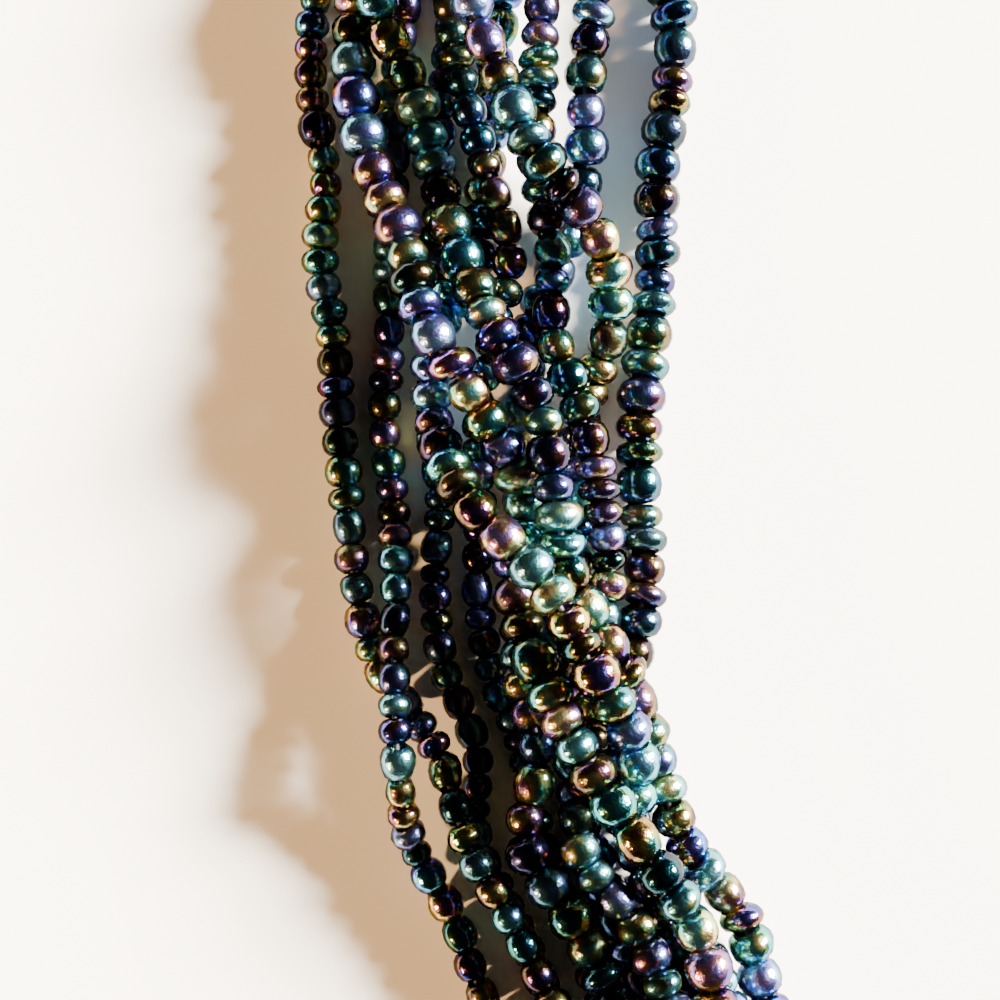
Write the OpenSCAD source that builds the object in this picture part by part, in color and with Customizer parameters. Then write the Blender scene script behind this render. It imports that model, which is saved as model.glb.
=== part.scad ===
// Necklace of eleven strings of glass seed beads, loosely twisted together.
// It lies flat in its own loop. The clasp is at the back of the neck, at +Y.

/* [Beads] */
// Mean width of the beads, which is the thickness of a string
bead_d = 2.9; // [2.4:0.1:3.6]
// Gap left between strings that lie side by side
string_gap = 0.5; // [0.4:0.05:0.8]

/* [Loop] */
// Width of the loop between the middles of the bundle
loop_w = 136; // [130:1:160]
// Length from the widest place up to the clasp
loop_up = 84; // [80:1:110]
// Length from the widest place down to the front
loop_down = 86; // [80:1:110]

/* [Twist] */
// Length of bundle in which the strings go once round it
turn_len = 140; // [120:5:220]

/* [Clasp] */
// Length of the clasp
clasp_l = 26; // [20:1:30]
// Wall round the pocket that takes the ends of the strings
clasp_wall = 1; // [0.8:0.1:2]
// Depth of each pocket
pocket_depth = 4; // [2:0.5:6]
// Clearance between the strings and the clasp
clasp_gap = 0.3; // [0.2:0.1:0.6]
// Straight run of the strings beside the clasp
straight_run = 4; // [2:1:8]

/* [Hidden] */
strings = 11;
step = bead_d + string_gap;
straight = clasp_l / 2 + straight_run;
// Places along the loop: twelve on each quarter beside the clasp, 27 round the front
quarter_places = 12;
front_places = 27;
// Last place of the twist before the open stretch, and the first after it
twist_stops = 7;
twist_starts = 9;
// Places beside the clasp where the strings run straight and where they rise to it
straight_places = 2;
rise_places = 4;
// Length of string between the rings of its tube, and the sides of each ring
ring_step = 9;
tube_sides = 8;

// The twist carries eight outer strings round a flat track, over and under a core row of three
outer = 8;
core_middle = 9;
core_row = 1;
track_flat = 2;
track_len = 2 * track_flat + 2 * PI;
drift = track_len * ring_step / turn_len;
left_tip = track_len - PI / 2;

clasp_r = step + bead_d / 2 + clasp_gap + clasp_wall;
low_centre = bead_d / 2;
clasp_lift = clasp_r - step - low_centre;
clasp_sides = 48;
// How far a cut goes on past the face that it opens
cut_over = 1;

// The open stretch runs down the left side. Its first station is this far above the widest
// place, and its stations are this far apart. Its middle line is upright.
open_top = 38;
station = 6;
// The open stretch's middle line is this many steps inwards from the widest place
open_in = 1;

// Where each string is at each station: sideways from the middle line, inwards positive,
// then its height as a row, where 0 lies on the surface and 1 on another string.
// Both are in steps from string to string.
SIDE = [
  [-2.8, -3.7, -4.1, -4.1, -3.8, -3.9, -3.6, -3.5, -3.3, -3.1, -2.6, -1.3, -0.7, 0.3, 1.2, 2.3, 3.5],
  [-1.7, -2.1, -2.1, -2.4, -2.3, -2.4, -2.4, -2.5, -2.3, -2.2, -2.2, -2.1, -1.9, -1.0, -0.3, 1.1, 2.6],
  [-1.8, -2.7, -3.1, -3.1, -2.7, -2.0, -1.5, -0.4, 0.5, 0.3, 0.8, 1.7, 2.9, 4.0, 4.4, 5.5, 6.5],
  [-0.8, -1.9, -2.6, -1.9, -1.4, -0.9, -0.2, 0.8, 1.1, 1.5, 2.5, 3.2, 3.8, 5.1, 5.6, 6.4, 7.7],
  [0.3, 0.0, 0.0, -0.2, -0.3, -0.5, -1.3, -1.4, -0.7, 0.9, 1.9, 2.8, 2.7, 4.0, 4.7, 5.6, 6.5],
  [0.9, 0.1, -0.6, -0.1, 0.7, 2.1, 2.3, 1.7, 1.6, 1.5, 1.1, 1.5, 1.8, 2.5, 3.3, 4.4, 5.2],
  [1.3, 1.0, 0.9, 0.8, 0.8, 1.1, 1.1, 1.7, 2.1, 2.3, 1.9, 1.9, 1.6, 2.8, 3.6, 4.6, 5.3],
  [2.3, 2.1, 2.0, 1.8, 1.8, 1.3, 0.6, 0.5, 0.5, 0.5, 0.4, 0.8, 0.5, 1.6, 2.5, 3.3, 4.0],
  [2.7, 3.3, 3.8, 3.7, 3.4, 3.4, 3.2, 3.0, 3.0, 3.1, 2.8, 2.5, 2.8, 3.5, 4.4, 5.3, 6.3],
  [-0.6, -1.1, -1.1, -1.3, -1.3, -1.5, -1.4, -1.5, -1.3, -1.4, -1.2, -0.5, -0.5, 0.3, 1.1, 2.3, 3.6],
  [-0.9, -1.2, -1.1, -0.8, -0.3, 0.2, -0.1, -0.5, -0.4, -0.5, -0.2, 0.5, 0.8, 1.5, 2.2, 3.4, 4.9]
];
ROW = [
  [0.6, 0.2, 0, 0, 0, 0, 0, 0, 0, 0, 0, 0.5, 1, 1, 1, 1.4, 1.9],
  [0, 0, 0, 0, 0, 0, 0, 0, 0, 0.5, 1.1, 1.3, 0.5, 0, 0, 0.2, 0.6],
  [1.5, 1, 0.5, 0.8, 1, 1.5, 2.1, 2, 1.1, 1.2, 1.8, 2.2, 2.2, 2, 2, 2.1, 2.1],
  [2, 1.8, 1.3, 1, 1, 1.4, 2.1, 2, 2, 1.5, 1.4, 0.7, 0.6, 0.3, 0.2, 0.5, 0.8],
  [0.6, 0, 0, 0, 0, 0.3, 1.1, 1, 2.1, 2.4, 2.3, 1.6, 1, 1, 1, 1.1, 1.1],
  [2, 2, 2, 2, 2.1, 1.5, 0.8, 0, 0, 0, 0, 0, 0, 0, 0, 0.6, 0.9],
  [1, 1, 1, 1, 1, 1, 1, 1.2, 1, 0.5, 0.5, 0.9, 1, 1, 1, 1.6, 1.9],
  [1, 1, 1, 1, 0.6, 0, 0, 0, 0, 0, 0.8, 0.9, 1, 1, 1, 1, 1],
  [0, 0, 0, 0, 0, 0, 0, 0, 0, 0, 0, 0, 0, 0, 0, 0, 0],
  [0, 0, 0, 0, 0, 0, 0, 0, 0, 0, 0, 0, 0, 0, 0, 0, 0],
  [1, 1, 1, 1, 1, 1, 0.8, 0.2, 0, 0, 0, 0, 0, 0, 0, 0, 0]
];
// Place of each string in the twist above and below the open stretch: 0 to 7 go round the
// track from its left tip, 8 to 10 are the core row from left to right
PLACE_UP = [0, 7, 1, 2, 9, 3, 10, 4, 5, 6, 8];
PLACE_DOWN = [1, 0, 3, 4, 10, 9, 2, 8, 5, 7, 6];

// How far the necklace reaches from the loop's middle on each side, and the shift that centres it
reach_left = loop_w / 2 - (open_in + min([for (line = SIDE) min(line)])) * step + bead_d / 2;
reach_right = loop_w / 2 + (track_flat / 2 + 1) * step + bead_d / 2;
reach_up = loop_up + step + clasp_r;
reach_down = loop_down + (track_flat / 2 + 1) * step + bead_d / 2;
centring = [(reach_left - reach_right) / 2, (reach_down - reach_up) / 2, 0];

// A point of the flat track, a distance p along it, as steps inwards and rows up
function on_track(p) =
  let (q = p - track_len * floor(p / track_len))
  q < track_flat ? [q - track_flat / 2, 2]
  : q < track_flat + PI ? let (a = (q - track_flat) * 180 / PI) [track_flat / 2 + sin(a), 1 + cos(a)]
  : q < 2 * track_flat + PI ? [track_flat / 2 - (q - track_flat - PI), 0]
  : let (a = (q - 2 * track_flat - PI) * 180 / PI) [-track_flat / 2 - sin(a), 1 - cos(a)];

// A string's place in the twist, when the twist has gone on by a distance
function in_twist(place, gone) =
  place >= outer ? [place - core_middle, core_row]
  : on_track(left_tip + place * track_len / outer + gone);

// The loop's middle line: a quarter beside the clasp, and the round of the front
function quarter(t, side) =
  let (a = 90 * t / quarter_places, rx = loop_w / 2 - straight)
  [[side * (straight + rx * sin(a)), loop_up * cos(a)],
   [-side * sin(a) * loop_up, -cos(a) * rx] / norm([sin(a) * loop_up, cos(a) * rx])];
function front(t) =
  let (a = 180 * t / front_places)
  [[-loop_w / 2 * cos(a), -loop_down * sin(a)],
   [loop_down * cos(a), loop_w / 2 * sin(a)] / norm([loop_down * cos(a), loop_w / 2 * sin(a)])];

// A point beside the middle line: line holds its place and the direction inwards
function beside(line, at, lift = 0) =
  let (p = line[0] + line[1] * at[0] * step)
  [p[0], p[1], low_centre + at[1] * step + lift];

function ease(x) = let (c = max(0, min(1, x))) c * c * (3 - 2 * c);
function rise(t) = clasp_lift * (1 - ease(t / rise_places));
// How far the twist has gone at a place that is counted from the clasp
function gone(t) = drift * max(0, t - straight_places);

function pocket_end(side, at) =
  [side * (clasp_l / 2 - pocket_depth + clasp_gap), loop_up - at[0] * step,
   low_centre + at[1] * step + clasp_lift];

function upper_route(i) =
  let (whole = gone(twist_stops))
  concat(
    [pocket_end(-1, in_twist(PLACE_UP[i], -whole))],
    [for (t = [0:twist_stops])
      beside(quarter(t, -1), in_twist(PLACE_UP[i], gone(t) - whole), rise(t))]);
function open_route(i) =
  [for (k = [0:len(SIDE[i]) - 1])
    [-loop_w / 2 + (open_in + SIDE[i][k]) * step, open_top - k * station,
     low_centre + ROW[i][k] * step]];
function lower_route(i) =
  let (front_gone = drift * (front_places - twist_starts), whole = front_gone + gone(quarter_places))
  concat(
    [for (t = [twist_starts:front_places])
      beside(front(t), in_twist(PLACE_DOWN[i], drift * (t - twist_starts)))],
    [for (t = [quarter_places - 1:-1:0])
      beside(quarter(t, 1), in_twist(PLACE_DOWN[i], whole - gone(t)), rise(t))],
    [pocket_end(1, in_twist(PLACE_DOWN[i], whole))]);
function route(i) = concat(upper_route(i), open_route(i), lower_route(i));

// A smooth line through the route, with a ring about every ring_step
function slopes(p) =
  [for (k = [0:len(p) - 1])
    k == 0 ? (p[1] - p[0]) / norm(p[1] - p[0])
    : k == len(p) - 1 ? (p[k] - p[k - 1]) / norm(p[k] - p[k - 1])
    : let (a = p[k] - p[k - 1], b = p[k + 1] - p[k], na = norm(a), nb = norm(b))
      (b * na / nb + a * nb / na) / (na + nb)];
// A point between two points of the route, never lower than a string that lies on the surface
function between(p, q, a, b, t) =
  let (d = norm(q - p),
       m = p * (2 * t * t * t - 3 * t * t + 1) + a * d * (t * t * t - 2 * t * t + t)
           + q * (3 * t * t - 2 * t * t * t) + b * d * (t * t * t - t * t))
  [m[0], m[1], max(m[2], low_centre)];
function smooth(p) =
  let (s = slopes(p))
  concat(
    [for (k = [0:len(p) - 2])
      let (n = max(1, round(norm(p[k + 1] - p[k]) / ring_step)))
      for (j = [0:n - 1]) between(p[k], p[k + 1], s[k], s[k + 1], j / n)],
    [p[len(p) - 1]]);

// A tube swept along a line, with one corner of each ring straight down
module tube(line, d) {
  n = len(line);
  s = slopes(line);
  rings = [for (k = [0:n - 1])
    let (along = s[k] / norm(s[k]), flat = cross(along, [0, 0, 1]), right = flat / norm(flat),
         up = cross(right, along))
    for (j = [0:tube_sides - 1])
      let (a = 360 * j / tube_sides - 90) line[k] + (right * cos(a) + up * sin(a)) * d / 2];
  walls = [for (k = [0:n - 2], j = [0:tube_sides - 1])
    let (a = k * tube_sides + j, b = k * tube_sides + (j + 1) % tube_sides)
    each [[a, b, a + tube_sides], [b, b + tube_sides, a + tube_sides]]];
  last = (n - 1) * tube_sides;
  ends = [for (j = [1:tube_sides - 2]) each [[0, j + 1, j], [last, last + j, last + j + 1]]];
  polyhedron(points = rings, faces = concat(walls, ends), convexity = 10);
}

module strand(i) {
  color(i % 2 == 0 ? "steelblue" : "slategray")
    translate(centring) tube(smooth(route(i)), bead_d);
}

// The outline of the clasp, flat above and below and round at both sides
module clasp_outline(r) {
  square([2 * step, 2 * r], center = true);
  for (side = [-1, 1])
    translate([side * step, 0]) circle(r, $fn = clasp_sides);
}

module clasp() {
  pocket_r = clasp_r - clasp_wall;
  color("darkgoldenrod")
    translate(centring + [-clasp_l / 2, loop_up, clasp_r])
      rotate([90, 0, 90])
        difference() {
          linear_extrude(clasp_l) clasp_outline(clasp_r);
          translate([0, 0, -cut_over]) linear_extrude(pocket_depth + cut_over)
            clasp_outline(pocket_r);
          translate([0, 0, clasp_l - pocket_depth]) linear_extrude(pocket_depth + cut_over)
            clasp_outline(pocket_r);
        }
}

for (i = [0:strings - 1])
  strand(i);
clasp();
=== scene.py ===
# %% [markdown]
# This script dresses a necklace of eleven strings of glass seed beads, loosely twisted together.
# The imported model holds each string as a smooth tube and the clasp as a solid. Here the tubes
# give way to real beads on a thread, and the clasp gets its metal.

# %% Load the frame
import math

import bpy
import numpy as np
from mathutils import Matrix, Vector


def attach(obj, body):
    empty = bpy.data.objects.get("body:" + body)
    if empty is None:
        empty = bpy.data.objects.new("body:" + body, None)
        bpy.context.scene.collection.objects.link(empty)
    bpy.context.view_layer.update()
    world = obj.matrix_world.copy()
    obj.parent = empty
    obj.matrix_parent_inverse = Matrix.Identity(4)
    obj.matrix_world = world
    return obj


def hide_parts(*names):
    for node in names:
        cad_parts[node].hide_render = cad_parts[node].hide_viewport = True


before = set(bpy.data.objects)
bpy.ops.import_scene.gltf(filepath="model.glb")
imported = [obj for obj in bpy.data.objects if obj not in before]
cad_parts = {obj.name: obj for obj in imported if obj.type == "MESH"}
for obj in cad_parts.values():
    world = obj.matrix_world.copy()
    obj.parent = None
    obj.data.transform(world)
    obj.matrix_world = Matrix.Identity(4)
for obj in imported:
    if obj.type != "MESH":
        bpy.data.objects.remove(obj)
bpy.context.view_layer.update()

MM = 0.001
print("the packed model has", len(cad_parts), "nodes")

# %% [markdown]
# The camera looks down on the left side of the loop, where the strings lie open and can be told
# apart. A close view from straight above shows depth only by size and shade, so a fairly short
# lens is used near the beads: the strings on top come out a little larger than those below.

# %% Camera
FRAME_WIDTH = 71.4 * MM
VIEW_CENTRE = Vector((-62.73 * MM, -9.65 * MM, 4 * MM))
LENS = 55
SENSOR = 36
VIEW_TILT = math.radians(3)
NEAREST_SEEN = 5 * MM

camera_data = bpy.data.cameras.new("camera")
camera_data.lens = LENS
camera_data.sensor_width = SENSOR
camera_data.clip_start = NEAREST_SEEN
camera = bpy.data.objects.new("camera", camera_data)
camera_distance = FRAME_WIDTH * LENS / SENSOR
towards_camera = Vector((0, -math.sin(VIEW_TILT), math.cos(VIEW_TILT)))
camera.location = VIEW_CENTRE + camera_distance * towards_camera
camera.rotation_euler = (VIEW_TILT, 0, 0)
bpy.context.scene.collection.objects.link(camera)
bpy.context.scene.camera = camera
print("the camera stands %.0f mm away" % (camera_distance / MM))

# %% [markdown]
# Every string follows the line that its tube follows. The line starts in the left pocket of the
# clasp, runs in the twist down to the open stretch, is listed there station by station, and goes
# on in the twist round the front and up to the right pocket. The open stretch is a list of
# stations, because each string there wanders in its own way, and the twist is a formula.

# %% Sizes of the loop and the twist
# Places are counted along the loop's middle line: a quarter beside the clasp has 12 steps, the
# front has 27. The twist stops where the open stretch begins and starts again where it ends.
BEAD_D = 2.9 * MM
STEP = 3.4 * MM
LOOP_W, LOOP_UP, LOOP_DOWN = 136 * MM, 84 * MM, 86 * MM
TURN_LEN = 140 * MM
CLASP_L = 26 * MM
POCKET_DEPTH, CLASP_GAP, CLASP_WALL = 4 * MM, 0.3 * MM, 1 * MM
STRAIGHT_RUN = 4 * MM
STRAIGHT = CLASP_L / 2 + STRAIGHT_RUN
QUARTER_PLACES, FRONT_PLACES = 12, 27
TWIST_STOPS, TWIST_STARTS = 7, 9
STRAIGHT_PLACES, RISE_PLACES = 2, 4
RING_STEP = 9 * MM
OUTER, TRACK_FLAT = 8, 2
TRACK_LEN = 2 * TRACK_FLAT + 2 * math.pi
DRIFT = TRACK_LEN * RING_STEP / TURN_LEN
LEFT_TIP = TRACK_LEN - math.pi / 2
CLASP_R = STEP + BEAD_D / 2 + CLASP_GAP + CLASP_WALL
LOW_CENTRE = BEAD_D / 2
CLASP_LIFT = CLASP_R - STEP - LOW_CENTRE
OPEN_TOP, STATION, OPEN_IN = 38 * MM, 6 * MM, 1
print("the clasp is %.1f mm high, and the strings rise %.1f mm to it"
      % (2 * CLASP_R / MM, CLASP_LIFT / MM))

# %% The open stretch, string by string
# Sideways from the middle line and inwards positive, then the height as a row, both in steps.
SIDE = [
    [-2.8, -3.7, -4.1, -4.1, -3.8, -3.9, -3.6, -3.5, -3.3, -3.1, -2.6, -1.3, -0.7, 0.3, 1.2, 2.3, 3.5],
    [-1.7, -2.1, -2.1, -2.4, -2.3, -2.4, -2.4, -2.5, -2.3, -2.2, -2.2, -2.1, -1.9, -1.0, -0.3, 1.1, 2.6],
    [-1.8, -2.7, -3.1, -3.1, -2.7, -2.0, -1.5, -0.4, 0.5, 0.3, 0.8, 1.7, 2.9, 4.0, 4.4, 5.5, 6.5],
    [-0.8, -1.9, -2.6, -1.9, -1.4, -0.9, -0.2, 0.8, 1.1, 1.5, 2.5, 3.2, 3.8, 5.1, 5.6, 6.4, 7.7],
    [0.3, 0.0, 0.0, -0.2, -0.3, -0.5, -1.3, -1.4, -0.7, 0.9, 1.9, 2.8, 2.7, 4.0, 4.7, 5.6, 6.5],
    [0.9, 0.1, -0.6, -0.1, 0.7, 2.1, 2.3, 1.7, 1.6, 1.5, 1.1, 1.5, 1.8, 2.5, 3.3, 4.4, 5.2],
    [1.3, 1.0, 0.9, 0.8, 0.8, 1.1, 1.1, 1.7, 2.1, 2.3, 1.9, 1.9, 1.6, 2.8, 3.6, 4.6, 5.3],
    [2.3, 2.1, 2.0, 1.8, 1.8, 1.3, 0.6, 0.5, 0.5, 0.5, 0.4, 0.8, 0.5, 1.6, 2.5, 3.3, 4.0],
    [2.7, 3.3, 3.8, 3.7, 3.4, 3.4, 3.2, 3.0, 3.0, 3.1, 2.8, 2.5, 2.8, 3.5, 4.4, 5.3, 6.3],
    [-0.6, -1.1, -1.1, -1.3, -1.3, -1.5, -1.4, -1.5, -1.3, -1.4, -1.2, -0.5, -0.5, 0.3, 1.1, 2.3, 3.6],
    [-0.9, -1.2, -1.1, -0.8, -0.3, 0.2, -0.1, -0.5, -0.4, -0.5, -0.2, 0.5, 0.8, 1.5, 2.2, 3.4, 4.9],
]
ROW = [
    [0.6, 0.2, 0, 0, 0, 0, 0, 0, 0, 0, 0, 0.5, 1, 1, 1, 1.4, 1.9],
    [0, 0, 0, 0, 0, 0, 0, 0, 0, 0.5, 1.1, 1.3, 0.5, 0, 0, 0.2, 0.6],
    [1.5, 1, 0.5, 0.8, 1, 1.5, 2.1, 2, 1.1, 1.2, 1.8, 2.2, 2.2, 2, 2, 2.1, 2.1],
    [2, 1.8, 1.3, 1, 1, 1.4, 2.1, 2, 2, 1.5, 1.4, 0.7, 0.6, 0.3, 0.2, 0.5, 0.8],
    [0.6, 0, 0, 0, 0, 0.3, 1.1, 1, 2.1, 2.4, 2.3, 1.6, 1, 1, 1, 1.1, 1.1],
    [2, 2, 2, 2, 2.1, 1.5, 0.8, 0, 0, 0, 0, 0, 0, 0, 0, 0.6, 0.9],
    [1, 1, 1, 1, 1, 1, 1, 1.2, 1, 0.5, 0.5, 0.9, 1, 1, 1, 1.6, 1.9],
    [1, 1, 1, 1, 0.6, 0, 0, 0, 0, 0, 0.8, 0.9, 1, 1, 1, 1, 1],
    [0, 0, 0, 0, 0, 0, 0, 0, 0, 0, 0, 0, 0, 0, 0, 0, 0],
    [0, 0, 0, 0, 0, 0, 0, 0, 0, 0, 0, 0, 0, 0, 0, 0, 0],
    [1, 1, 1, 1, 1, 1, 0.8, 0.2, 0, 0, 0, 0, 0, 0, 0, 0, 0],
]
PLACE_UP = [0, 7, 1, 2, 9, 3, 10, 4, 5, 6, 8]
PLACE_DOWN = [1, 0, 3, 4, 10, 9, 2, 8, 5, 7, 6]

reach_left = LOOP_W / 2 - (OPEN_IN + min(min(line) for line in SIDE)) * STEP + BEAD_D / 2
reach_side = (TRACK_FLAT / 2 + 1) * STEP + BEAD_D / 2
CENTRING = np.array([(reach_left - LOOP_W / 2 - reach_side) / 2,
                     (LOOP_DOWN + reach_side - LOOP_UP - STEP - CLASP_R) / 2, 0])
print("strings:", len(SIDE), "stations:", len(SIDE[0]))


# %% [markdown]
# In the twist, eight strings travel round a flat track, like a running track seen end on, and
# three lie still in its middle. A plain round rope would be simpler, but a bundle of loose
# strings lies flat on a table: three rows high, and wider than it is high.

# %% Where a string is in the twist
def on_track(distance):
    """A point of the flat track, as steps inwards and rows up."""
    q = distance % TRACK_LEN
    if q < TRACK_FLAT:
        return q - TRACK_FLAT / 2, 2.0
    if q < TRACK_FLAT + math.pi:
        a = q - TRACK_FLAT
        return TRACK_FLAT / 2 + math.sin(a), 1 + math.cos(a)
    if q < 2 * TRACK_FLAT + math.pi:
        return TRACK_FLAT / 2 - (q - TRACK_FLAT - math.pi), 0.0
    a = q - 2 * TRACK_FLAT - math.pi
    return -TRACK_FLAT / 2 - math.sin(a), 1 - math.cos(a)


def in_twist(place, gone):
    """Where a string lies in the bundle, after it has gone that far round the track."""
    if place >= OUTER:
        return place - OUTER - 1, 1.0
    return on_track(LEFT_TIP + place * TRACK_LEN / OUTER + gone)


def quarter(t, side):
    """The loop's middle line beside the clasp: a point, and the direction inwards."""
    a = math.pi / 2 * t / QUARTER_PLACES
    reach = LOOP_W / 2 - STRAIGHT
    inwards = np.array([-side * math.sin(a) * LOOP_UP, -math.cos(a) * reach])
    return (np.array([side * (STRAIGHT + reach * math.sin(a)), LOOP_UP * math.cos(a)]),
            inwards / np.linalg.norm(inwards))


def front(t):
    """The loop's middle line round the front."""
    a = math.pi * t / FRONT_PLACES
    inwards = np.array([LOOP_DOWN * math.cos(a), LOOP_W / 2 * math.sin(a)])
    return (np.array([-LOOP_W / 2 * math.cos(a), -LOOP_DOWN * math.sin(a)]),
            inwards / np.linalg.norm(inwards))


def beside(line, at, lift=0.0):
    """A point so many steps inwards of the middle line, and so many rows up."""
    point = line[0] + line[1] * at[0] * STEP
    return [point[0], point[1], LOW_CENTRE + at[1] * STEP + lift]


def rise(t):
    """The last few places before the clasp rise smoothly to the height of its pocket."""
    c = max(0, min(1, t / RISE_PLACES))
    return CLASP_LIFT * (1 - c * c * (3 - 2 * c))


def gone_on(t):
    """The strings run straight beside the clasp, and then go round the track."""
    return DRIFT * max(0, t - STRAIGHT_PLACES)


def pocket_end(side, at):
    """Where a string ends inside the clasp."""
    return [side * (CLASP_L / 2 - POCKET_DEPTH + CLASP_GAP), LOOP_UP - at[0] * STEP,
            LOW_CENTRE + at[1] * STEP + CLASP_LIFT]


print("between two places a string goes %.2f of the way round" % (DRIFT / TRACK_LEN))


# %% The route and the smooth line of a string
def route(up, down, sides, rows):
    """A string's points, from the left pocket through the open stretch to the right pocket."""
    whole = gone_on(TWIST_STOPS)
    points = [pocket_end(-1, in_twist(up, -whole))]
    for t in range(TWIST_STOPS + 1):
        points.append(beside(quarter(t, -1), in_twist(up, gone_on(t) - whole), rise(t)))
    for k, (side, row) in enumerate(zip(sides, rows)):
        points.append([-LOOP_W / 2 + (OPEN_IN + side) * STEP, OPEN_TOP - k * STATION,
                       LOW_CENTRE + row * STEP])
    for t in range(TWIST_STARTS, FRONT_PLACES + 1):
        points.append(beside(front(t), in_twist(down, DRIFT * (t - TWIST_STARTS))))
    whole = DRIFT * (FRONT_PLACES - TWIST_STARTS) + gone_on(QUARTER_PLACES)
    for t in range(QUARTER_PLACES - 1, -1, -1):
        points.append(beside(quarter(t, 1), in_twist(down, whole - gone_on(t)), rise(t)))
    points.append(pocket_end(1, in_twist(down, whole)))
    return np.array(points)


def smooth(points, gap):
    """A smooth line through the points, with a new point about every gap."""
    legs = np.diff(points, axis=0)
    length = np.linalg.norm(legs, axis=1)
    slopes = [legs[0] / length[0]]
    for k in range(1, len(points) - 1):
        a, b = length[k - 1], length[k]
        slopes.append((legs[k] * a / b + legs[k - 1] * b / a) / (a + b))
    slopes.append(legs[-1] / length[-1])
    line = []
    for k, d in enumerate(length):
        pieces = max(1, round(d / gap))
        for j in range(pieces):
            t = j / pieces
            line.append(points[k] * (2 * t**3 - 3 * t**2 + 1)
                        + slopes[k] * d * (t**3 - 2 * t**2 + t)
                        + points[k + 1] * (3 * t**2 - 2 * t**3)
                        + slopes[k + 1] * d * (t**3 - t**2))
    line.append(points[-1])
    line = np.array(line)
    line[:, 2] = np.maximum(line[:, 2], LOW_CENTRE)
    return line + CENTRING


LINE_GAP = 1.0 * MM
lines = [smooth(route(*string), LINE_GAP) for string in zip(PLACE_UP, PLACE_DOWN, SIDE, ROW)]
lengths = [np.linalg.norm(np.diff(line, axis=0), axis=1).sum() for line in lines]
print("string lengths in mm:", [round(length / MM) for length in lengths])


# %% [markdown]
# Materials are node trees. One helper adds a node, sets its properties, and fills its inputs:
# an input that is given another node's socket is linked to it, and any other is set.

# %% Helpers for nodes and colours
def add(tree, kind, inputs=None, **settings):
    """Adds one node to a tree, with its settings, values and links."""
    node = tree.nodes.new(kind)
    for name, value in settings.items():
        setattr(node, name, value)
    for name, value in (inputs or {}).items():
        if isinstance(value, bpy.types.NodeSocket):
            tree.links.new(value, node.inputs[name])
        else:
            node.inputs[name].default_value = value
    return node


def linear(hex_colour):
    """An sRGB hex colour as the linear values that shaders work in."""
    parts = [int(hex_colour[k:k + 2], 16) / 255 for k in (1, 3, 5)]
    values = [c / 12.92 if c <= 0.04045 else ((c + 0.055) / 1.055) ** 2.4 for c in parts]
    return (*values, 1.0)


def new_material(name):
    material = bpy.data.materials.new(name)
    material.use_nodes = True
    material.node_tree.nodes.clear()
    return material, material.node_tree


def fill_ramp(ramp, stops):
    """Puts (place, hex colour) pairs on a colour ramp."""
    while len(ramp.elements) > 1:
        ramp.elements.remove(ramp.elements[-1])
    for k, (place, colour) in enumerate(stops):
        element = ramp.elements[0] if k == 0 else ramp.elements.new(place)
        element.position = place
        element.color = linear(colour)


print("middle grey is %.3f in linear values" % linear("#808080")[0])


# %% [markdown]
# The beads are dark glass with an iris finish: the hot glass is fumed with metal salts, which
# leave a film of a few hundred nanometres. Its thickness decides the colour, and it varies from
# bead to bead and across each bead, so one bead may go from violet to gold. The film reflects
# like metal, so the shader is a metal under a thin clear coat. Clear glass with a film on it
# could do it too, but its colours follow from the film's thickness and can't be picked.
#
# A ramp holds the colours in the order in which a growing film shows them. Each bead has its own
# place on the ramp (tone), and a fine noise moves that place across the bead's face. Where the
# film is thin the dark glass shows, so each bead also has its own darkness, at random above the
# least darkness of its string; on the strings deep in the bundle that darkness is painted shade.
# A satin bead is a little paler than a glossy one, and one number sets both (satin). The ripples
# of the real surface are finer than a render shows, so they are drawn coarser, 0.4 mm apart.

# %% Sizes and colours of the iris finish
FILM_PATCH, FILM_SHIFT = 1.7 * MM, 0.2
GLASS_RIPPLE, RIPPLE_HEIGHT = 0.4 * MM, 0.08 * MM
NOISE_LOW, NOISE_HIGH = 0.3, 0.7
# From the glossiest bead to the most satin one, and from the lightest to the darkest.
PURITY = (0.95, 0.72)
ROUGHNESS = (0.15, 0.27)
LIGHTNESS = (1.4, 0.06)
GRAZING_COLOUR = "#33313A"
COAT_WEIGHT, COAT_ROUGHNESS = 0.4, 0.06
IRIS_STOPS = [
    (0.00, "#38A2AA"), (0.16, "#36A0C2"), (0.28, "#3E7CC6"), (0.38, "#3C4CB0"),
    (0.49, "#4E40A0"), (0.57, "#864C96"), (0.62, "#8E4E56"), (0.67, "#8A623A"),
    (0.73, "#CCA646"), (0.79, "#CEBE5A"), (0.84, "#A4B664"), (0.89, "#5CA87C"),
    (0.95, "#3CA2A0"), (1.00, "#38A2AA"),
]
print("colours of the film:", len(IRIS_STOPS))


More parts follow.
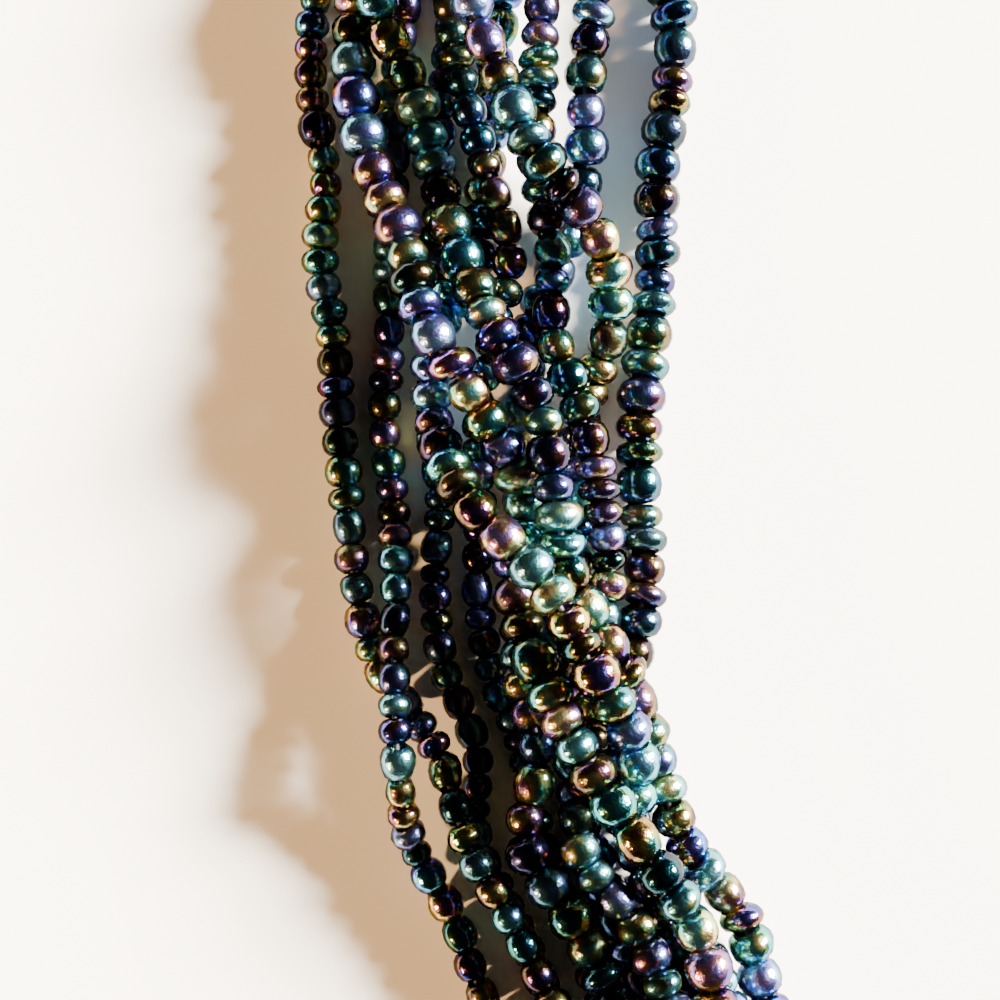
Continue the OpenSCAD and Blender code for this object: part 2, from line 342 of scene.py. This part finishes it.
# %% Iris-finish glass
def iris_glass():
    material, tree = new_material("glass_iris_fumed")
    place = add(tree, "ShaderNodeTexCoord").outputs["Object"]
    tone = add(tree, "ShaderNodeAttribute", attribute_name="tone").outputs["Fac"]
    satin = add(tree, "ShaderNodeAttribute", attribute_name="satin").outputs["Fac"]
    depth = add(tree, "ShaderNodeAttribute", attribute_name="depth").outputs["Fac"]
    patches = add(tree, "ShaderNodeTexNoise",
                  {"Vector": place, "Scale": 1 / FILM_PATCH, "Detail": 1.0})
    shift = add(tree, "ShaderNodeMapRange",
                {"Value": patches.outputs["Fac"], "From Min": NOISE_LOW, "From Max": NOISE_HIGH,
                 "To Min": -FILM_SHIFT, "To Max": FILM_SHIFT})
    film = add(tree, "ShaderNodeMath", {0: tone, 1: shift.outputs["Result"]}, operation="ADD")
    film = add(tree, "ShaderNodeMath", {0: film.outputs[0], 1: 1.0}, operation="FLOORED_MODULO")
    colour = add(tree, "ShaderNodeValToRGB", {"Fac": film.outputs[0]})
    fill_ramp(colour.color_ramp, IRIS_STOPS)
    # Each bead's darkness darkens its colour; on the strings deep in the bundle it is partly painted
    # shade.
    wash, rough, dim = (
        add(tree, "ShaderNodeMapRange", {"Value": value, "To Min": first, "To Max": last})
        for value, (first, last) in ((satin, PURITY), (satin, ROUGHNESS), (depth, LIGHTNESS)))
    colour = add(tree, "ShaderNodeHueSaturation",
                 {"Color": colour.outputs["Color"], "Saturation": wash.outputs["Result"],
                  "Value": dim.outputs["Result"]})
    ripple = add(tree, "ShaderNodeTexNoise",
                 {"Vector": place, "Scale": 1 / GLASS_RIPPLE, "Detail": 2.0})
    bump = add(tree, "ShaderNodeBump", {"Height": ripple.outputs["Fac"], "Strength": 0.8,
                                        "Distance": RIPPLE_HEIGHT})
    surface = add(tree, "ShaderNodeBsdfPrincipled",
                  {"Base Color": colour.outputs["Color"], "Metallic": 1.0,
                   "Specular Tint": linear(GRAZING_COLOUR), "Roughness": rough.outputs["Result"],
                   "Coat Weight": COAT_WEIGHT, "Coat Roughness": COAT_ROUGHNESS,
                   "Normal": bump.outputs[0]})
    add(tree, "ShaderNodeOutputMaterial", {"Surface": surface.outputs[0]})
    return material


glass = iris_glass()
print("material:", glass.name)


# %% [markdown]
# The thread shows only where it comes out of a bead at the clasp, and between two beads that stand
# a little apart. It is twisted nylon, dyed dark and waxed, so it is nearly matt, with filaments
# that catch the light in fine lines. The filaments are 0.02 mm thick, too fine to show, so they
# are drawn as a coarser unevenness of 0.12 mm, in colour and in height.

# %% Beading thread
THREAD_FIBRE, FIBRE_HEIGHT = 0.12 * MM, 0.03 * MM
THREAD_COLOURS = [(0.35, "#1A1920"), (0.65, "#2E2D36")]


def beading_thread():
    material, tree = new_material("nylon_thread_twisted")
    place = add(tree, "ShaderNodeTexCoord").outputs["Object"]
    fibres = add(tree, "ShaderNodeTexNoise",
                 {"Vector": place, "Scale": 1 / THREAD_FIBRE, "Detail": 2.0})
    colour = add(tree, "ShaderNodeValToRGB", {"Fac": fibres.outputs["Fac"]})
    fill_ramp(colour.color_ramp, THREAD_COLOURS)
    bump = add(tree, "ShaderNodeBump", {"Height": fibres.outputs["Fac"], "Strength": 0.5,
                                        "Distance": FIBRE_HEIGHT})
    surface = add(tree, "ShaderNodeBsdfPrincipled",
                  {"Base Color": colour.outputs["Color"], "Roughness": 0.6,
                   "Normal": bump.outputs[0]})
    add(tree, "ShaderNodeOutputMaterial", {"Surface": surface.outputs[0]})
    return material


thread = beading_thread()
print("material:", thread.name)


# %% [markdown]
# A seed bead starts as a slice of a glass tube and is tumbled hot until its edges are round. It
# could be a torus, but its wall is flatter outside than a torus is, so its outline is drawn as
# a few points from the rim of the hole round to the other rim, and turned about the hole. It has
# few faces, because there are more than two thousand beads.

# %% One bead, of radius 1 and half length 1
BEAD_SIDES = 9
BEAD_OUTLINE = [(0.34, 0.84), (0.57, 0.98), (0.85, 0.70), (1.0, 0.23),
                (1.0, -0.23), (0.85, -0.70), (0.57, -0.98), (0.34, -0.84)]


def bead_mesh():
    verts, faces = [], []
    rows = len(BEAD_OUTLINE)
    for s in range(BEAD_SIDES):
        a = 2 * math.pi * s / BEAD_SIDES
        verts += [(r * math.cos(a), r * math.sin(a), z) for r, z in BEAD_OUTLINE]
    for s in range(BEAD_SIDES):
        here, there = s * rows, (s + 1) % BEAD_SIDES * rows
        for k in range(rows):
            n = (k + 1) % rows
            faces.append((here + k, here + n, there + n, there + k))
    mesh = bpy.data.meshes.new("bead_pattern")
    mesh.from_pydata(verts, [], faces)
    mesh.polygons.foreach_set("use_smooth", [True] * len(faces))
    return mesh


pattern = bpy.data.objects.new("bead_pattern", bead_mesh())
bpy.context.scene.collection.objects.link(pattern)
print("faces of one bead:", len(pattern.data.polygons))


# %% [markdown]
# The strings repeat one bead along a line, which is a job for Geometry Nodes. Hand-strung beads
# touch each other and differ in length, so an even spacing would look like a machine's. The tree
# gives every bead a random length, adds the lengths up, and puts each bead at the running sum.
# It also moves each bead up or down until its underside is level with the tube's, so the lowest
# strings lie on the table, whatever the size of their beads.

# %% The tree that strings beads on a line
def string_tree():
    tree = bpy.data.node_groups.new("string_of_beads", "GeometryNodeTree")
    face = tree.interface
    face.new_socket("Geometry", in_out="OUTPUT", socket_type="NodeSocketGeometry")
    face.new_socket("Line", in_out="INPUT", socket_type="NodeSocketGeometry")
    for name, kind in (("Bead", "Object"), ("Diameter", "Float"), ("Diameter Spread", "Float"),
                       ("Length", "Float"), ("Length Spread", "Float"), ("Tube Diameter", "Float"),
                       ("Tilt", "Float"), ("Least Depth", "Float"), ("Thread Diameter", "Float"),
                       ("Seed", "Int"), ("Bead Material", "Material"),
                       ("Thread Material", "Material")):
        face.new_socket(name, in_out="INPUT", socket_type="NodeSocket" + kind)
    given = add(tree, "NodeGroupInput").outputs

    def maths(kind, a, b):
        return add(tree, "ShaderNodeMath", {0: a, 1: b}, operation=kind).outputs[0]

    def chance(low, high, extra):
        """A number of its own for each bead, and a new one for each extra."""
        seed = add(tree, "FunctionNodeIntegerMath", {0: given["Seed"], 1: extra}, operation="ADD")
        return add(tree, "FunctionNodeRandomValue",
                   {2: low, 3: high, "Seed": seed.outputs[0]}, data_type="FLOAT").outputs[1]

    curve = add(tree, "GeometryNodeMeshToCurve", {"Mesh": given["Line"]}).outputs[0]
    whole = add(tree, "GeometryNodeCurveLength", {"Curve": curve}).outputs[0]
    count = maths("ROUND", maths("DIVIDE", whole, given["Length"]), 0.0)
    beads = add(tree, "GeometryNodePoints", {"Count": count}).outputs[0]

    shorter = maths("SUBTRACT", 1.0, given["Length Spread"])
    longer = maths("ADD", 1.0, given["Length Spread"])
    share = chance(shorter, longer, 0)
    sums = add(tree, "GeometryNodeAccumulateField", {0: share},
               data_type="FLOAT", domain="POINT").outputs
    unit = maths("DIVIDE", whole, sums["Total"])
    half = maths("MULTIPLY", maths("MULTIPLY", share, unit), 0.5)
    at = maths("SUBTRACT", maths("MULTIPLY", sums["Leading"], unit), half)
    sample = add(tree, "GeometryNodeSampleCurve", {"Curves": curve, "Length": at},
                 mode="LENGTH").outputs

    wider = maths("ADD", 1.0, given["Diameter Spread"])
    narrower = maths("SUBTRACT", 1.0, given["Diameter Spread"])
    width = maths("MULTIPLY", chance(narrower, wider, 1), given["Diameter"])
    radius = maths("MULTIPLY", width, 0.5)
    spot = add(tree, "ShaderNodeSeparateXYZ", {0: sample["Position"]}).outputs
    sunk = maths("SUBTRACT", maths("MULTIPLY", given["Tube Diameter"], 0.5), radius)
    height = maths("MAXIMUM", maths("SUBTRACT", spot["Z"], sunk), radius)
    spot = add(tree, "ShaderNodeCombineXYZ", {0: spot["X"], 1: spot["Y"], 2: height}).outputs[0]
    beads = add(tree, "GeometryNodeSetPosition", {"Geometry": beads, "Position": spot}).outputs[0]

    along = add(tree, "FunctionNodeAlignRotationToVector", {"Vector": sample["Tangent"]}, axis="Z")
    back = maths("MULTIPLY", given["Tilt"], -1.0)
    turn = add(tree, "ShaderNodeCombineXYZ", {0: chance(back, given["Tilt"], 2),
                                              1: chance(back, given["Tilt"], 3),
                                              2: chance(0.0, math.tau, 4)})
    turn = add(tree, "FunctionNodeEulerToRotation", {0: turn.outputs[0]})
    turned = add(tree, "FunctionNodeRotateRotation",
                 {0: along.outputs[0], 1: turn.outputs[0]}, rotation_space="LOCAL")
    size = add(tree, "ShaderNodeCombineXYZ", {0: radius, 1: radius, 2: half})
    shape = add(tree, "GeometryNodeObjectInfo", {"Object": given["Bead"]}).outputs["Geometry"]
    beads = add(tree, "GeometryNodeInstanceOnPoints",
                {"Points": beads, "Instance": shape, "Rotation": turned.outputs[0],
                 "Scale": size.outputs[0]}).outputs[0]
    # A string's least darkness sets how dark its lightest bead is; on the strings deep in the bundle it
    # is painted shade.
    for name, least, extra in (("tone", 0.0, 5), ("satin", 0.0, 6),
                               ("depth", given["Least Depth"], 7)):
        beads = add(tree, "GeometryNodeStoreNamedAttribute",
                    {"Geometry": beads, "Name": name, "Value": chance(least, 1.0, extra)},
                    data_type="FLOAT", domain="INSTANCE").outputs[0]

    thread_r = maths("MULTIPLY", given["Thread Diameter"], 0.5)
    ring = add(tree, "GeometryNodeCurvePrimitiveCircle", {"Resolution": 6, "Radius": thread_r})
    strand = add(tree, "GeometryNodeCurveToMesh",
                 {"Curve": curve, "Profile Curve": ring.outputs[0], "Fill Caps": True}).outputs[0]
    strand = add(tree, "GeometryNodeStoreNamedAttribute",
                 {"Geometry": strand, "Name": "is_thread", "Value": True},
                 data_type="BOOLEAN", domain="FACE").outputs[0]
    both = add(tree, "GeometryNodeJoinGeometry")
    tree.links.new(beads, both.inputs[0])
    tree.links.new(strand, both.inputs[0])
    real = add(tree, "GeometryNodeRealizeInstances", {"Geometry": both.outputs[0]}).outputs[0]
    real = add(tree, "GeometryNodeSetMaterial",
               {"Geometry": real, "Material": given["Bead Material"]}).outputs[0]
    chosen = add(tree, "GeometryNodeInputNamedAttribute", {"Name": "is_thread"},
                 data_type="BOOLEAN")
    real = add(tree, "GeometryNodeSetMaterial",
               {"Geometry": real, "Selection": chosen.outputs[0],
                "Material": given["Thread Material"]}).outputs[0]
    add(tree, "NodeGroupOutput", {"Geometry": real})
    return tree


stringing = string_tree()
print("nodes in the stringing tree:", len(stringing.nodes))


# %% [markdown]
# The strings aren't alike. Those on top of the bundle have larger beads. Those deep in it have
# darker beads as painted shade, and the loose one on the right has darker beads too, so each
# string has its own bead size and darkness. The line is given to the tree as a bare mesh of
# edges, and what comes out is kept as a plain mesh.

# %% Thread a string and make it a plain mesh
def bead_string(name, line, settings):
    """A string of beads on a line, as a plain mesh object."""
    mesh = bpy.data.meshes.new(name)
    mesh.from_pydata([tuple(p) for p in line], [(k, k + 1) for k in range(len(line) - 1)], [])
    piece = bpy.data.objects.new(name, mesh)
    bpy.context.scene.collection.objects.link(piece)
    modifier = piece.modifiers.new("stringing", "NODES")
    modifier.node_group = stringing
    sockets = {item.name: item.identifier for item in stringing.interface.items_tree
               if item.in_out == "INPUT"}
    for socket, value in settings.items():
        modifier[sockets[socket]] = value
    shown = piece.evaluated_get(bpy.context.evaluated_depsgraph_get())
    made = bpy.data.meshes.new_from_object(shown)
    piece.modifiers.clear()
    piece.data = made
    bpy.data.meshes.remove(mesh)
    made.name = name
    return piece


# For each string: its beads' diameter and length in mm, how dark its lightest bead is, and the
# seed of its mix of beads. On the strings deep in the bundle that darkness is painted shade.
BEAD_KINDS = [
    (2.6, 2.1, 0.3, 40), (2.4, 2.0, 0.2, 50), (3.3, 2.4, 0.0, 209), (3.2, 2.3, 0.2, 219),
    (3.2, 2.2, 0.1, 216), (3.2, 2.3, 0.0, 90), (2.9, 2.1, 0.3, 100), (3.1, 2.3, 0.4, 110),
    (3.4, 2.2, 0.7, 120), (2.3, 1.9, 0.6, 130), (2.5, 2.0, 0.6, 140),
]
LENGTH_SPREAD = 0.3
DIAMETER_SPREAD = 0.1
BEAD_TILT = math.radians(12)
THREAD_D = 0.4 * MM

pieces = []
for i, (line, (diameter, length, depth, mix)) in enumerate(zip(lines, BEAD_KINDS)):
    node = "strand_%02d" % (i + 1)
    piece = bead_string("beads_%02d" % (i + 1), line, {
        "Bead": pattern, "Diameter": diameter * MM, "Diameter Spread": DIAMETER_SPREAD,
        "Length": length * MM, "Length Spread": LENGTH_SPREAD, "Tube Diameter": BEAD_D,
        "Tilt": BEAD_TILT, "Least Depth": depth, "Thread Diameter": THREAD_D, "Seed": mix,
        "Bead Material": glass, "Thread Material": thread})
    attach(piece, "root")
    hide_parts(node)
    pieces.append(piece)
bpy.data.objects.remove(pattern)
print("faces in each string:", [len(piece.data.polygons) for piece in pieces])


# %% [markdown]
# The clasp is out of the photograph, at the back of the neck. It is plain cast brass that was
# tumbled to a satin surface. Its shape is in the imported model, so it only gets its metal: the
# tumbling leaves a fine uneven gloss, and handling leaves slightly darker patches.

# %% Satin brass
BRASS_PATCH = 6 * MM
BRASS_GRAIN, GRAIN_HEIGHT = 0.25 * MM, 0.05 * MM
BRASS_COLOURS = [(NOISE_LOW, "#B08C4C"), (NOISE_HIGH, "#C9A660")]
BRASS_ROUGHNESS = (0.4, 0.32)


def satin_brass():
    material, tree = new_material("brass_cast_tumbled")
    place = add(tree, "ShaderNodeTexCoord").outputs["Object"]
    patches = add(tree, "ShaderNodeTexNoise",
                  {"Vector": place, "Scale": 1 / BRASS_PATCH, "Detail": 3.0})
    grain = add(tree, "ShaderNodeTexNoise",
                {"Vector": place, "Scale": 1 / BRASS_GRAIN, "Detail": 2.0})
    colour = add(tree, "ShaderNodeValToRGB", {"Fac": patches.outputs["Fac"]})
    fill_ramp(colour.color_ramp, BRASS_COLOURS)
    rough = add(tree, "ShaderNodeMapRange",
                {"Value": patches.outputs["Fac"], "From Min": NOISE_LOW, "From Max": NOISE_HIGH,
                 "To Min": BRASS_ROUGHNESS[0], "To Max": BRASS_ROUGHNESS[1]})
    bump = add(tree, "ShaderNodeBump", {"Height": grain.outputs["Fac"], "Strength": 0.15,
                                        "Distance": GRAIN_HEIGHT})
    surface = add(tree, "ShaderNodeBsdfPrincipled",
                  {"Base Color": colour.outputs["Color"], "Metallic": 1.0,
                   "Roughness": rough.outputs["Result"], "Normal": bump.outputs[0]})
    add(tree, "ShaderNodeOutputMaterial", {"Surface": surface.outputs[0]})
    return material


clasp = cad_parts["clasp"]
clasp.data.materials.clear()
clasp.data.materials.append(satin_brass())
print("clasp dressed, faces:", len(clasp.data.polygons))


# %% [markdown]
# A plain pale floor takes the place of whatever the necklace lies on. A strong lamp low on the
# right throws a long shadow to the left and puts a bright patch on the right of each bead.
# A weak warm lamp low on the left lights that shadow from the other side, as a sunlit wall would.
# Both are far away, so the light is the same all round the loop.
#
# One big soft lamp above would be simpler, but its reflection fills each bead and hides the dark
# glass. For the same reason the room is dark above. Only its walls are light, near the horizon:
# they show at the rims of the beads, and behind the necklace when it is seen from low down.

# %% Floor
FLOOR_REACH = 20.0
corners = [(x * FLOOR_REACH, y * FLOOR_REACH, 0) for x, y in ((-1, -1), (1, -1), (1, 1), (-1, 1))]
floor_mesh = bpy.data.meshes.new("floor")
floor_mesh.from_pydata(corners, [], [(0, 1, 2, 3)])
floor = bpy.data.objects.new("floor", floor_mesh)
bpy.context.scene.collection.objects.link(floor)
paper, paper_tree = new_material("paper_matt_pale")
paper_surface = add(paper_tree, "ShaderNodeBsdfPrincipled",
                    {"Base Color": linear("#F2EDE2"), "Roughness": 0.9})
add(paper_tree, "ShaderNodeOutputMaterial", {"Surface": paper_surface.outputs[0]})
floor_mesh.materials.append(paper)
print("floor of", 2 * FLOOR_REACH, "m")


# %% Lamps and room
def lamp(name, bearing, height, softness, strength, colour):
    """A far lamp at a bearing and a height, as wide as the angle of its softness, in degrees."""
    data = bpy.data.lights.new(name, "SUN")
    data.angle = math.radians(softness)
    data.energy = strength
    data.color = linear(colour)[:3]
    lamp_object = bpy.data.objects.new(name, data)
    side, up = math.radians(bearing), math.radians(height)
    towards = Vector((math.cos(side) * math.cos(up), math.sin(side) * math.cos(up), math.sin(up)))
    lamp_object.rotation_euler = towards.to_track_quat("Z", "Y").to_euler()
    bpy.context.scene.collection.objects.link(lamp_object)


lamp("key", bearing=22, height=21, softness=16, strength=92.0, colour="#FFFAF2")
lamp("fill", bearing=213, height=24, softness=4, strength=9.0, colour="#FFC88A")

# How bright the room's walls are at the horizon, how bright it is above, and where that begins.
WALL_GLOW, DARK_GLOW, WALL_TOP = 0.35, 0.014, 0.2
room = bpy.data.worlds.new("room")
room.use_nodes = True
bpy.context.scene.world = room
room_tree = room.node_tree
room_tree.nodes.clear()
direction = add(room_tree, "ShaderNodeTexCoord").outputs["Generated"]
upwards = add(room_tree, "ShaderNodeSeparateXYZ", {0: direction}).outputs["Z"]
glow = add(room_tree, "ShaderNodeMapRange",
           {"Value": upwards, "From Min": 0.0, "From Max": WALL_TOP,
            "To Min": WALL_GLOW, "To Max": DARK_GLOW})
walls = add(room_tree, "ShaderNodeBackground",
            {"Color": linear("#D6DCE6"), "Strength": glow.outputs["Result"]})
add(room_tree, "ShaderNodeOutputWorld", {"Surface": walls.outputs[0]})
print("lamps:", [light.name for light in bpy.data.lights])

# %% Update the scene
bpy.context.view_layer.update()
